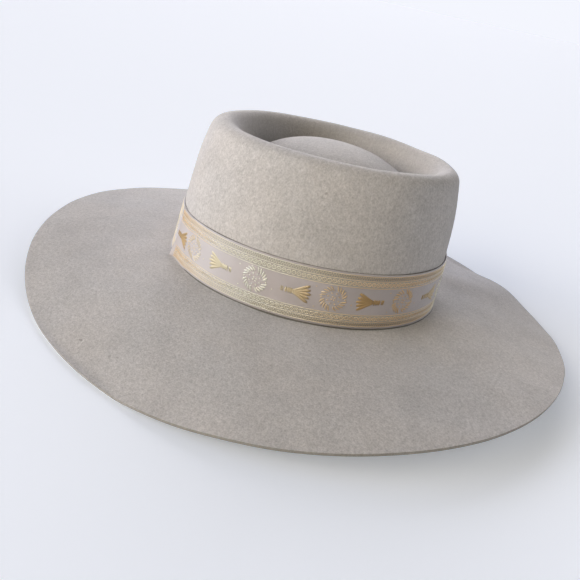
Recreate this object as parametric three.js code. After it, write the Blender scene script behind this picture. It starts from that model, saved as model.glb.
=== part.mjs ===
// A wide-brim felt hat. The crown is oval with a telescope crease: a rolled rim, an oval groove
// inside it and a low dome in the groove. Crown and brim are blocked from one hood of felt, and a
// woven ribbon closes around the foot of the crown.
// Millimetres. +Z is up, the front of the hat is -Y and the wearer's left is +X. The origin is on
// the surface that the hat rests on, under the middle of the hat.

import * as THREE from "three";

// The felt, and the head oval outside it where crown and brim meet
const FELT = 2.0;
const OVAL_LENGTH = 199;
const OVAL_WIDTH = 180;

// Sizes that change around the hat have one value for each side of it. The crown's height is to
// the top of the rolled rim.
const CROWN_HEIGHT = { front: 98.0, left: 95.6, back: 95.0, right: 96.3 };
const MIDDLE_HEIGHT = 96.2;
const ROLL_RADIUS = { front: 12.9, left: 9.1, back: 8.5, right: 9.1 };
const BRIM_WIDTH = { front: 98.3, left: 95.0, back: 94.5, right: 95.0 };

// How far the crown wall stands out from the head oval, at fractions of the crown's height
const WALL = [
  { height: 0.0, front: 0.0, left: 0.0, back: 0.0, right: 0.0 },
  { height: 0.36, front: -7.3, left: -0.5, back: -0.5, right: -0.5 },
  { height: 0.72, front: -12.2, left: -6.1, back: -3.1, right: -6.1 },
  { height: 1.0, front: -19.2, left: -14.4, back: -7.9, right: -14.4 },
];

// The telescope crease
const INNER_ROLL_END = THREE.MathUtils.degToRad(165);
const INNER_WALL_SLOPE = Math.tan(THREE.MathUtils.degToRad(75));
const GROOVE_DEPTH = 22.5;
const GROOVE_WIDTH = 6.5;
const GROOVE_ROUNDING = 3.0;
const DOME_RISE = 18.2;
const DOME_POWER = 2.7;
const DOME_DROP_PER_MM = { toLeft: 0.07, toBack: 0.015 };

// The brim: a small fillet at the break, then a surface that droops towards a waved edge
const BREAK_FILLET = 3.0;
const DROOP_POWER = 1.4;
const EDGE_MEAN_DROP = 11.6;
const EDGE_WAVES = [
  { waves: 1, left: -6.2, back: -3.2 },
  { waves: 2, left: -6.0, back: 1.7 },
  { waves: 3, left: -3.4, back: 0.5 },
  { waves: 4, left: 0.6, back: 1.2 },
];
const EDGE_KINK = { lift: 4.75, at: 137, spread: 8.8 };

// How the hat stands: it leans until its brim meets the surface at both sides, and the felt
// flattens a little there
const LEAN = { toLeft: 0.0526, toBack: 0.0346 };
const STAND_HEIGHT = 19.15;

// The ribbon
const RIBBON_WIDTH = 36;
const RIBBON_THICKNESS = 1.0;
const RIBBON_FOOT = 1.2;
const RIBBON_GAP = 0.52;
const LAP = { at: -58, halfLength: 6.5, ramp: 2.5, extra: 0.6 };

// Mesh steps: how many around the hat, and the stations of the section from the brim's edge to
// near the middle of the dome. The first two stations are close, for the flattened edge.
const TURN_STEPS = 64;
const RIBBON_STEPS = 96;
const STATIONS = [
  0,
  ...steps(0.03, 1, 5),
  ...steps(1, 2, 4),
  ...steps(2, 3, 5),
  ...steps(3, 4, 6),
  ...[4, 4.03, 4.06, 4.1, 4.14, 4.2, 4.3, 4.5, 4.75],
];
const MIDDLE = 5;
const SLOPE_STEP = 1e-3;

function steps(from, to, count) {
  return Array.from({ length: count }, (_, i) => from + ((to - from) * i) / count);
}

// Blends the four values of a size by the squares of the sine and cosine of the turn, which
// changes smoothly from one side of the hat to the next.
function around(turn, sizes) {
  const sine = Math.sin(turn);
  const cosine = Math.cos(turn);
  const endOn = sine < 0 ? sizes.front : sizes.back;
  const sideOn = cosine < 0 ? sizes.right : sizes.left;
  return endOn * sine * sine + sideOn * cosine * cosine;
}

// Smooth curve through the wall table, as a cubic between each pair of rows.
function wallOffset(turn, height) {
  const fraction = height / around(turn, CROWN_HEIGHT);
  const value = (row) => around(turn, WALL[row]);
  const slope = (row) => {
    const low = Math.max(row - 1, 0);
    const high = Math.min(row + 1, WALL.length - 1);
    return (value(high) - value(low)) / (WALL[high].height - WALL[low].height);
  };
  let row = 0;
  while (row < WALL.length - 2 && fraction > WALL[row + 1].height) {
    row += 1;
  }
  const span = WALL[row + 1].height - WALL[row].height;
  const t = (fraction - WALL[row].height) / span;
  const startPull = t * (1 - t) * (1 - t) * span * slope(row);
  const endPull = t * t * (t - 1) * span * slope(row + 1);
  const ease = t * t * (3 - 2 * t);
  return value(row) * (1 - ease) + value(row + 1) * ease + startPull + endPull;
}

function wallSlope(turn, height) {
  return wallOffset(turn, height + 0.5) - wallOffset(turn, height - 0.5);
}

// A point of the head oval and the direction straight out from it, in plan.
function oval(turn) {
  const x = (OVAL_WIDTH / 2) * Math.cos(turn);
  const y = (OVAL_LENGTH / 2) * Math.sin(turn);
  const out = new THREE.Vector2(OVAL_LENGTH * Math.cos(turn), OVAL_WIDTH * Math.sin(turn));
  return { foot: new THREE.Vector2(x, y), out: out.normalize() };
}

// A point of the hat as worn, from its turn around the head, its distance out from the head
// oval and its height above the break.
function worn(turn, distance, height) {
  const { foot, out } = oval(turn);
  const plan = foot.clone().addScaledVector(out, distance);
  return new THREE.Vector3(plan.x, plan.y, height);
}

function edgeHeight(turn) {
  let height = -EDGE_MEAN_DROP;
  for (const wave of EDGE_WAVES) {
    height += wave.left * Math.cos(wave.waves * turn) + wave.back * Math.sin(wave.waves * turn);
  }
  const fromKink = turn - THREE.MathUtils.degToRad(EDGE_KINK.at);
  const wrapped = Math.atan2(Math.sin(fromKink), Math.cos(fromKink));
  const spread = THREE.MathUtils.degToRad(EDGE_KINK.spread);
  return height + EDGE_KINK.lift * Math.exp(-((wrapped / spread) ** 2));
}

// Brim from its edge, t = 0, to the fillet, t = 1.
function brimPoint(turn, t) {
  const reach = 1 - t;
  const distance = THREE.MathUtils.lerp(BREAK_FILLET, around(turn, BRIM_WIDTH), reach);
  return worn(turn, distance, edgeHeight(turn) * reach ** DROOP_POWER);
}

// Fillet of the break, a quarter circle that flares out from the wall.
function filletPoint(turn, t) {
  const angle = (t * Math.PI) / 2;
  const height = BREAK_FILLET * (1 - Math.cos(angle));
  const flare = BREAK_FILLET * (1 - Math.sin(angle));
  return worn(turn, wallOffset(turn, height) + flare, height);
}

// How far the fillet stands out from the wall at a height.
function breakFlare(height) {
  const below = Math.max(BREAK_FILLET - height, 0);
  return BREAK_FILLET - Math.sqrt(BREAK_FILLET ** 2 - below ** 2);
}

// The arc of the rolled rim. It starts where the leaning wall is tangent to it.
function roll(turn) {
  const radius = around(turn, ROLL_RADIUS);
  const top = around(turn, CROWN_HEIGHT);
  let start = 0;
  let join = top - radius;
  for (let pass = 0; pass < 6; pass += 1) {
    start = Math.atan(-wallSlope(turn, join));
    join = top - radius * (1 - Math.sin(start));
  }
  const distance = wallOffset(turn, join) - radius * Math.cos(start);
  return { radius, top, start, join, distance };
}

function wallPoint(turn, t) {
  const height = THREE.MathUtils.lerp(BREAK_FILLET, roll(turn).join, t);
  return worn(turn, wallOffset(turn, height), height);
}

function rollPoint(turn, t) {
  const { radius, top, start, distance } = roll(turn);
  const angle = THREE.MathUtils.lerp(start, INNER_ROLL_END, t);
  return worn(turn, distance + radius * Math.cos(angle), top - radius + radius * Math.sin(angle));
}

// From the rim inwards to the middle of the dome. The inner wall falls steeply and the dome rises
// again; the higher of the two is taken, with the groove between them rounded.
function creasePoint(turn, t) {
  const from = rollPoint(turn, 1);
  const plan = new THREE.Vector2(from.x, from.y);
  const run = plan.length();
  const travelled = run * t;
  const wall = from.z - travelled * INNER_WALL_SLOPE;
  const reach = (run - travelled) / (run - GROOVE_WIDTH);
  plan.multiplyScalar(1 - t);
  const fall = DOME_DROP_PER_MM.toLeft * plan.x + DOME_DROP_PER_MM.toBack * plan.y;
  const top = THREE.MathUtils.lerp(MIDDLE_HEIGHT, around(turn, CROWN_HEIGHT), (1 - t) ** 2);
  const dome = top - GROOVE_DEPTH + DOME_RISE * (1 - reach ** DOME_POWER) - fall;
  const height = (wall + dome + Math.hypot(wall - dome, GROOVE_ROUNDING)) / 2;
  return new THREE.Vector3(plan.x, plan.y, height);
}

// The hat's upper and outer surface: station 0 is the brim's edge, 1 the fillet's foot, 2 the
// wall's, 3 the start of the roll, 4 its end, and 5 the middle of the dome.
function surfacePoint(turn, station) {
  const zones = [brimPoint, filletPoint, wallPoint, rollPoint, creasePoint];
  const zone = Math.min(Math.max(Math.floor(station), 0), zones.length - 1);
  return zones[zone](turn, station - zone);
}

// The direction straight out of the felt, from the surface's slopes along and around the hat.
function surfaceNormal(turn, station) {
  const step = SLOPE_STEP;
  const inward = surfacePoint(turn, station + step).sub(surfacePoint(turn, station - step));
  const sideways = surfacePoint(turn + step, station).sub(surfacePoint(turn - step, station));
  return station === MIDDLE ? new THREE.Vector3(0, 0, 1) : sideways.cross(inward).normalize();
}

// Leans the worn hat onto the surface and flattens what would reach below it.
function stand(point, lowest) {
  const lean = new THREE.Vector3(LEAN.toLeft, LEAN.toBack, 1).normalize();
  const turned = new THREE.Quaternion().setFromUnitVectors(lean, new THREE.Vector3(0, 0, 1));
  const standing = point.clone().applyQuaternion(turned);
  standing.z = Math.max(standing.z + STAND_HEIGHT, lowest);
  return standing;
}

function feltPoints(turn, station) {
  const outer = surfacePoint(turn, station);
  const inner = outer.clone().addScaledVector(surfaceNormal(turn, station), -FELT);
  return { outer: stand(outer, FELT), inner: stand(inner, 0) };
}

// A closed mesh from vertices and triangles.
function solid(points, triangles) {
  const geometry = new THREE.BufferGeometry();
  const positions = points.flatMap((point) => point.toArray());
  geometry.setAttribute("position", new THREE.Float32BufferAttribute(positions, 3));
  geometry.setIndex(triangles.flat());
  return geometry;
}

// The felt: a grid of outer points and a grid of inner ones, each closed at the middle of the
// dome, and a strip that joins them along the brim's cut edge.
function feltGeometry() {
  const rows = STATIONS.length;
  const points = [];
  for (const layer of ["outer", "inner"]) {
    for (const station of STATIONS) {
      for (let i = 0; i < TURN_STEPS; i += 1) {
        points.push(feltPoints((i * 2 * Math.PI) / TURN_STEPS, station)[layer]);
      }
    }
    points.push(feltPoints(0, MIDDLE)[layer]);
  }
  const layerSize = rows * TURN_STEPS + 1;
  const at = (layer, row, i) => layer * layerSize + row * TURN_STEPS + (i % TURN_STEPS);
  const triangles = [];
  const quad = (a, b, c, d) => triangles.push([a, b, c], [a, c, d]);
  for (let i = 0; i < TURN_STEPS; i += 1) {
    for (let row = 0; row < rows - 1; row += 1) {
      quad(at(0, row, i), at(0, row, i + 1), at(0, row + 1, i + 1), at(0, row + 1, i));
      quad(at(1, row, i), at(1, row + 1, i), at(1, row + 1, i + 1), at(1, row, i + 1));
    }
    triangles.push([at(0, rows - 1, i), at(0, rows - 1, i + 1), layerSize - 1]);
    triangles.push([at(1, rows - 1, i + 1), at(1, rows - 1, i), 2 * layerSize - 1]);
    quad(at(1, 0, i), at(1, 0, i + 1), at(0, 0, i + 1), at(0, 0, i));
  }
  return solid(points, triangles);
}

// How much the lap of the ribbon's two ends thickens it, from none to LAP.extra.
function lapLift(turn) {
  const fromLap = turn - THREE.MathUtils.degToRad(LAP.at);
  const away = Math.abs(Math.atan2(Math.sin(fromLap), Math.cos(fromLap)));
  const half = THREE.MathUtils.degToRad(LAP.halfLength);
  const ramp = THREE.MathUtils.degToRad(LAP.ramp);
  return LAP.extra * (1 - THREE.MathUtils.smoothstep(away, half, half + ramp));
}

// The ribbon: a ring whose section is a tall thin strip that follows the wall.
function ribbonGeometry() {
  const levels = [0, 0.25, 0.5, 0.75, 1];
  const inside = levels.map((level) => ({ level, out: 0 }));
  const outside = levels.toReversed().map((level) => ({ level, out: 1 }));
  const section = [...outside, ...inside];
  const points = [];
  for (let i = 0; i < RIBBON_STEPS; i += 1) {
    const turn = (i * 2 * Math.PI) / RIBBON_STEPS;
    for (const { level, out } of section) {
      const height = RIBBON_FOOT + RIBBON_WIDTH * level;
      const flare = breakFlare(height);
      const clear = RIBBON_GAP + flare + out * (RIBBON_THICKNESS + lapLift(turn));
      points.push(stand(worn(turn, wallOffset(turn, height) + clear, height), 0));
    }
  }
  const count = section.length;
  const at = (i, j) => (i % RIBBON_STEPS) * count + (j % count);
  const triangles = [];
  for (let i = 0; i < RIBBON_STEPS; i += 1) {
    for (let j = 0; j < count; j += 1) {
      triangles.push([at(i, j), at(i, j + 1), at(i + 1, j + 1)]);
      triangles.push([at(i, j), at(i + 1, j + 1), at(i + 1, j)]);
    }
  }
  return solid(points, triangles);
}

function named(name, geometry, material) {
  const mesh = new THREE.Mesh(geometry, material);
  mesh.name = name;
  return mesh;
}

const felt = new THREE.MeshStandardMaterial({ color: 0xb9b3ad, roughness: 0.95, metalness: 0.0 });
const satin = new THREE.MeshStandardMaterial({ color: 0xb9ad9a, roughness: 0.55, metalness: 0.1 });

const group = new THREE.Group();
const hat = new THREE.Group();
hat.add(named("felt_body", feltGeometry(), felt));
hat.add(named("ribbon_band", ribbonGeometry(), satin));
const box = new THREE.Box3().setFromObject(hat);
hat.position.set(-(box.min.x + box.max.x) / 2, -(box.min.y + box.max.y) / 2, 0);
group.add(hat);
group.updateMatrixWorld(true);

export default group;
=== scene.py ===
"""A wide-brim felt hat with a telescope crown and a woven ribbon, in a plain pale studio.

The hat is blocked from one hood of felt. A jacquard ribbon lies around the foot of the crown, with
rosettes, fans and borders raised on it in metallic thread. Shapes are worked out in millimetres in
the hat's own frame (front -Y, wearer's left +X, up +Z), then stood on the floor and written to the
meshes in metres.
"""

import logging
from dataclasses import dataclass, field
from enum import Enum

import bpy
import numpy as np
from mathutils import Matrix


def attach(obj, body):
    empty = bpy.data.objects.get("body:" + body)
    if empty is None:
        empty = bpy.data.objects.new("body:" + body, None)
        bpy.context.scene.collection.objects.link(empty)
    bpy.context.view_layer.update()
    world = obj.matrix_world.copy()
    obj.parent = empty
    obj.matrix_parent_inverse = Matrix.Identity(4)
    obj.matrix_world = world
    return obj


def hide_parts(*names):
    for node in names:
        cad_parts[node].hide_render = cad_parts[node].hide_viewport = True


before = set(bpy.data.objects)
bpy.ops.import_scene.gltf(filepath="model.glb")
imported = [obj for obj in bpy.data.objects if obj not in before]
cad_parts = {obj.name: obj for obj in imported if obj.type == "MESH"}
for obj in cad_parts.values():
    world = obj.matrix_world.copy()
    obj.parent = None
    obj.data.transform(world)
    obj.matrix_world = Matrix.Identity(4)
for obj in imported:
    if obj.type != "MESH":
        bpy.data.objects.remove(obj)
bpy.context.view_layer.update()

MM = 0.001
IMAGE_SIZE = 580
FULL_TURN = 2.0 * np.pi
LAST_STATION = 5.0
EDGE_STATION = -1.0
UNSEEN = -99.0
UP = np.array([0.0, 0.0, 1.0])

log = logging.getLogger("felt_hat")


def turn_onto(first: np.ndarray, second: np.ndarray) -> np.ndarray:
    """The smallest rotation that brings one unit vector onto another.

    Args:
        first: the vector that is turned.
        second: the vector that it ends on.

    Returns:
        A rotation matrix of three rows.
    """
    axis = np.cross(first, second)
    cross = np.array([[0, -axis[2], axis[1]], [axis[2], 0, -axis[0]], [-axis[1], axis[0], 0]])
    return np.eye(3) + cross + cross @ cross / (1 + first @ second)


def eased(t: np.ndarray) -> np.ndarray:
    """A smooth step from 0 to 1 that is level at both ends."""
    return t * t * (3 - 2 * t)


class Facing(Enum):
    """Which way along the ribbon a fan opens."""

    FORWARD = 1
    BACKWARD = -1


@dataclass(frozen=True)
class Around:
    """A size that has one value for each side of the hat, in millimetres."""

    front: float
    left: float
    back: float
    right: float

    def at(self, turn: np.ndarray) -> np.ndarray:
        """Blends the four values by the squares of the sine and cosine of the turn.

        Args:
            turn: angles around the head, from the wearer's left towards the back, in radians.

        Returns:
            The size at each turn.
        """
        sine, cosine = np.sin(turn), np.cos(turn)
        end_on = np.where(sine < 0, self.front, self.back)
        side_on = np.where(cosine < 0, self.right, self.left)
        return end_on * sine**2 + side_on * cosine**2


@dataclass(frozen=True)
class EdgeWave:
    """One wave of the brim's edge: waves around the hat and its two heights in millimetres."""

    waves: int
    left: float
    back: float


@dataclass(frozen=True)
class HatBlock:
    """The shape that the felt is blocked to, with the same sizes as the solid frame."""

    felt: float = 2.0
    oval_length: float = 199.0
    oval_width: float = 180.0
    crown_height: Around = Around(98.0, 95.6, 95.0, 96.3)
    middle_height: float = 96.2
    roll_radius: Around = Around(12.9, 9.1, 8.5, 9.1)
    brim_width: Around = Around(98.3, 95.0, 94.5, 95.0)
    wall_levels: tuple[float, ...] = (0.0, 0.36, 0.72, 1.0)
    wall_rows: tuple[Around, ...] = (
        Around(0.0, 0.0, 0.0, 0.0),
        Around(-7.3, -0.5, -0.5, -0.5),
        Around(-12.2, -6.1, -3.1, -6.1),
        Around(-19.2, -14.4, -7.9, -14.4),
    )
    roll_passes: int = 6
    inner_roll_end: float = np.radians(165.0)
    inner_wall_slope: float = np.tan(np.radians(75.0))
    groove_depth: float = 22.5
    groove_width: float = 6.5
    groove_rounding: float = 3.0
    dome_rise: float = 18.2
    dome_power: float = 2.7
    dome_drop: tuple[float, float] = (0.07, 0.015)
    break_fillet: float = 3.0
    droop_power: float = 1.4
    edge_mean_drop: float = 11.6
    edge_waves: tuple[EdgeWave, ...] = (
        EdgeWave(1, -6.2, -3.2),
        EdgeWave(2, -6.0, 1.7),
        EdgeWave(3, -3.4, 0.5),
        EdgeWave(4, 0.6, 1.2),
    )
    kink_lift: float = 4.75
    kink_turn: float = np.radians(137.0)
    kink_spread: float = np.radians(8.8)

    def wall_offset(self, turn: np.ndarray, height: np.ndarray) -> np.ndarray:
        """How far the crown wall stands out from the head oval: a cubic through the wall's rows.

        Args:
            turn: angles around the head.
            height: heights above the break, in millimetres.

        Returns:
            Offsets in millimetres, negative inwards.
        """
        turn, height = np.broadcast_arrays(turn, height)
        levels = np.array(self.wall_levels)
        values = np.stack([row.at(turn) for row in self.wall_rows])
        low = np.maximum(np.arange(len(levels)) - 1, 0)
        high = np.minimum(np.arange(len(levels)) + 1, len(levels) - 1)
        rise = (levels[high] - levels[low]).reshape((-1,) + (1,) * turn.ndim)
        slopes = (values[high] - values[low]) / rise
        fraction = height / self.crown_height.at(turn)
        row = np.searchsorted(levels[1:-1], fraction)

        def pick(table: np.ndarray, index: np.ndarray) -> np.ndarray:
            """The table's entry of the wanted row at each point."""
            return np.take_along_axis(table, index[None], axis=0)[0]

        span = levels[row + 1] - levels[row]
        t = (fraction - levels[row]) / span
        ease = eased(t)
        pulls = t * (1 - t) ** 2 * pick(slopes, row) + t * t * (t - 1) * pick(slopes, row + 1)
        return pick(values, row) * (1 - ease) + pick(values, row + 1) * ease + span * pulls

    def worn(self, turn: np.ndarray, distance: np.ndarray, height: np.ndarray) -> np.ndarray:
        """Points of the hat as worn: the head oval, plus a distance straight out from it.

        Args:
            turn: angles around the head.
            distance: distances out from the oval, in millimetres.
            height: heights above the break, in millimetres.

        Returns:
            Points, with a last axis of x, y and z.
        """
        turn, distance, height = np.broadcast_arrays(turn, distance, height)
        cosine, sine = np.cos(turn), np.sin(turn)
        out_x, out_y = self.oval_length * cosine, self.oval_width * sine
        size = np.hypot(out_x, out_y)
        x = self.oval_width / 2 * cosine + out_x / size * distance
        y = self.oval_length / 2 * sine + out_y / size * distance
        return np.stack([x, y, height], axis=-1)

    def edge_height(self, turn: np.ndarray) -> np.ndarray:
        """Height of the brim's edge: a mean drop, a few waves and one small kink.

        Args:
            turn: angles around the head.

        Returns:
            Heights above the break, in millimetres.
        """
        height = np.full(np.shape(turn), -self.edge_mean_drop)
        for wave in self.edge_waves:
            height = height + wave.left * np.cos(wave.waves * turn)
            height = height + wave.back * np.sin(wave.waves * turn)
        wrapped = np.angle(np.exp(1j * (turn - self.kink_turn)))
        return height + self.kink_lift * np.exp(-((wrapped / self.kink_spread) ** 2))

    def brim(self, turn: np.ndarray, t: np.ndarray) -> np.ndarray:
        """Brim from its edge, t = 0, to the fillet, t = 1; it droops by a power of its reach.

        Args:
            turn: angles around the head.
            t: how far from the zone's start, 0, to its end, 1.

        Returns:
            Points of the worn hat.
        """
        reach = 1 - t
        width = self.break_fillet + (self.brim_width.at(turn) - self.break_fillet) * reach
        return self.worn(turn, width, self.edge_height(turn) * reach**self.droop_power)

    def fillet(self, turn: np.ndarray, t: np.ndarray) -> np.ndarray:
        """Quarter circle at the break, from flat brim to upright wall.

        Args:
            turn: angles around the head.
            t: how far from the zone's start, 0, to its end, 1.

        Returns:
            Points of the worn hat.
        """
        angle = t * np.pi / 2
        height = self.break_fillet * (1 - np.cos(angle))
        flare = self.break_fillet * (1 - np.sin(angle))
        return self.worn(turn, self.wall_offset(turn, height) + flare, height)

    def break_flare(self, height: np.ndarray) -> np.ndarray:
        """How far the fillet stands out from the wall: a quarter circle in the height."""
        below = np.maximum(self.break_fillet - height, 0)
        return self.break_fillet - np.sqrt(self.break_fillet**2 - below**2)

    def roll_arc(self, turn: np.ndarray) -> tuple[np.ndarray, ...]:
        """The arc of the rolled rim, which starts where the leaning wall is tangent to it.

        The start is found in a few passes, with the lean taken over one millimetre of height.

        Args:
            turn: angles around the head.

        Returns:
            The radius, top, start angle, joining height and centre distance at each turn.
        """
        radius, top = self.roll_radius.at(turn), self.crown_height.at(turn)
        join = top - radius
        start = np.zeros_like(radius)
        for _ in range(self.roll_passes):
            lean = self.wall_offset(turn, join + 0.5) - self.wall_offset(turn, join - 0.5)
            start = np.arctan(-lean)
            join = top - radius * (1 - np.sin(start))
        return radius, top, start, join, self.wall_offset(turn, join) - radius * np.cos(start)

    def wall(self, turn: np.ndarray, t: np.ndarray) -> np.ndarray:
        """Crown wall from the fillet up to where the roll starts.

        Args:
            turn: angles around the head.
            t: how far from the zone's start, 0, to its end, 1.

        Returns:
            Points of the worn hat.
        """
        join = self.roll_arc(turn)[3]
        height = self.break_fillet + (join - self.break_fillet) * t
        return self.worn(turn, self.wall_offset(turn, height), height)

    def roll(self, turn: np.ndarray, t: np.ndarray) -> np.ndarray:
        """Rolled rim, an arc from the wall over the top and down inside.

        Args:
            turn: angles around the head.
            t: how far from the zone's start, 0, to its end, 1.

        Returns:
            Points of the worn hat.
        """
        radius, top, start, _, centre = self.roll_arc(turn)
        angle = start + (self.inner_roll_end - start) * t
        distance = centre + radius * np.cos(angle)
        return self.worn(turn, distance, top - radius + radius * np.sin(angle))

    def crease(self, turn: np.ndarray, t: np.ndarray) -> np.ndarray:
        """From the rim to the middle of the dome.

        The inner wall falls steeply and the dome rises again by a power of the distance from the
        middle. The higher of the two is taken, with the groove between them rounded.

        Args:
            turn: angles around the head.
            t: 0 at the rim and 1 in the middle.

        Returns:
            Points of the crease and dome.
        """
        rim = self.roll(turn, np.ones_like(t))
        run = np.hypot(rim[..., 0], rim[..., 1])
        wall = rim[..., 2] - run * t * self.inner_wall_slope
        reach = run * (1 - t) / (run - self.groove_width)
        plan = rim[..., :2] * (1 - t)[..., None]
        fall = plan @ np.array(self.dome_drop)
        near_rim = (1 - t) ** 2
        top = self.middle_height * (1 - near_rim) + self.crown_height.at(turn) * near_rim
        dome = top - self.groove_depth + self.dome_rise * (1 - reach**self.dome_power) - fall
        height = (wall + dome + np.hypot(wall - dome, self.groove_rounding)) / 2
        return np.concatenate([plan, height[..., None]], axis=-1)

    def surface(self, turn: np.ndarray, station: np.ndarray) -> np.ndarray:
        """Upper and outer surface of the felt.

        Args:
            turn: angles around the head.
            station: 0 at the brim's edge, 1 at the fillet, 2 at the wall's foot, 3 and 4 at the
                start and end of the roll, and 5 in the middle of the dome.

        Returns:
            Points, with a last axis of x, y and z.
        """
        turn, station = np.broadcast_arrays(turn, station)
        zones = (self.brim, self.fillet, self.wall, self.roll, self.crease)
        zone = np.clip(np.floor(station), 0, len(zones) - 1)
        points = np.empty(turn.shape + (3,))
        for number, zone_points in enumerate(zones):
            here = zone == number
            points[here] = zone_points(turn[here], (station - zone)[here])
        return points

    def normal(self, turn: np.ndarray, station: np.ndarray) -> np.ndarray:
        """Direction straight out of the felt: the cross product of its two slopes.

        Args:
            turn: angles around the head.
            station: stations, as in surface.

        Returns:
            Unit vectors.
        """
        step = 1e-3
        inward = self.surface(turn, station + step) - self.surface(turn, station - step)
        sideways = self.surface(turn + step, station) - self.surface(turn - step, station)
        across = np.cross(sideways, inward)
        return across / np.linalg.norm(across, axis=-1, keepdims=True)


@dataclass
class Stand:
    """How the hat stands on the floor: it leans until the brim meets it at both sides."""

    block: HatBlock
    lean: tuple[float, float] = (0.0526, 0.0346)
    height: float = 19.15
    frame_steps: int = 64
    turned: np.ndarray = field(init=False)
    shift: np.ndarray = field(init=False)

    def __post_init__(self) -> None:
        """Works out the lean's rotation, and the shift that centres the brim's box."""
        lean = np.array([*self.lean, 1.0])
        self.turned = turn_onto(lean / np.linalg.norm(lean), UP)
        turns = np.arange(self.frame_steps) * FULL_TURN / self.frame_steps
        edge = self.block.surface(turns, np.zeros_like(turns)) @ self.turned.T
        middle = (edge.min(axis=0) + edge.max(axis=0)) / 2
        self.shift = np.array([-middle[0], -middle[1], self.height])

    def place(self, points: np.ndarray) -> np.ndarray:
        """Turns the worn hat's points by the lean and shifts them, in millimetres."""
        return points @ self.turned.T + self.shift

    def rest(self, points: np.ndarray, lowest: np.ndarray | float) -> np.ndarray:
        """Stands points and flattens those that would reach below a height.

        Args:
            points: points of the worn hat.
            lowest: the height below which nothing reaches, in millimetres.

        Returns:
            Standing points.
        """
        standing = self.place(points)
        standing[..., 2] = np.maximum(standing[..., 2], lowest)
        return standing


class MeshMaker:
    """Turns arrays into meshes and objects."""

    @staticmethod
    def grid_faces(rows: int, columns: int, closed: bool) -> np.ndarray:
        """Faces of a grid of points, counted along its columns first.

        Args:
            rows: how many rows of points.
            columns: how many points in a row.
            closed: whether the last column joins the first.

        Returns:
            Four corner numbers for each face.
        """
        across = np.arange(columns if closed else columns - 1)
        ahead = (across + 1) % columns
        start = (np.arange(rows - 1) * columns)[:, None]
        corners = [start + across, start + ahead, start + columns + ahead, start + columns + across]
        return np.stack(corners, axis=-1).reshape(-1, 4)

    @staticmethod
    def build(
        name: str,
        points: np.ndarray,
        faces: list[list[int]],
        uv: np.ndarray | None = None,
        measures: dict[str, np.ndarray] | None = None,
    ) -> bpy.types.Object:
        """Makes a smooth object from points in millimetres.

        Args:
            name: the piece's name.
            points: one point a row.
            faces: corner numbers of each face.
            uv: the place on the cloth of each point, in metres, if the piece has one.
            measures: named values, one for each point, that the piece's material reads.

        Returns:
            The new object, linked into the scene.
        """
        mesh = bpy.data.meshes.new(name)
        mesh.from_pydata((points * MM).tolist(), [], faces)
        mesh.polygons.foreach_set("use_smooth", np.ones(len(mesh.polygons), dtype=bool))
        if uv is not None:
            corners = np.empty(len(mesh.loops), dtype=np.int32)
            mesh.loops.foreach_get("vertex_index", corners)
            layer = mesh.uv_layers.new(name="cloth")
            layer.data.foreach_set("uv", uv[corners].astype(np.float32).ravel())
        for label, values in (measures or {}).items():
            layer = mesh.attributes.new(label, "FLOAT", "POINT")
            layer.data.foreach_set("value", values.astype(np.float32))
        mesh.update()
        piece = bpy.data.objects.new(name, mesh)
        bpy.context.scene.collection.objects.link(piece)
        return piece


@dataclass(frozen=True)
class Tint:
    """A colour as red, green and blue light from 0 to 1."""

    red: float
    green: float
    blue: float

    def rgba(self) -> tuple[float, float, float, float]:
        """The colour with full opacity, as a socket takes it."""
        return (self.red, self.green, self.blue, 1.0)


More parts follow.
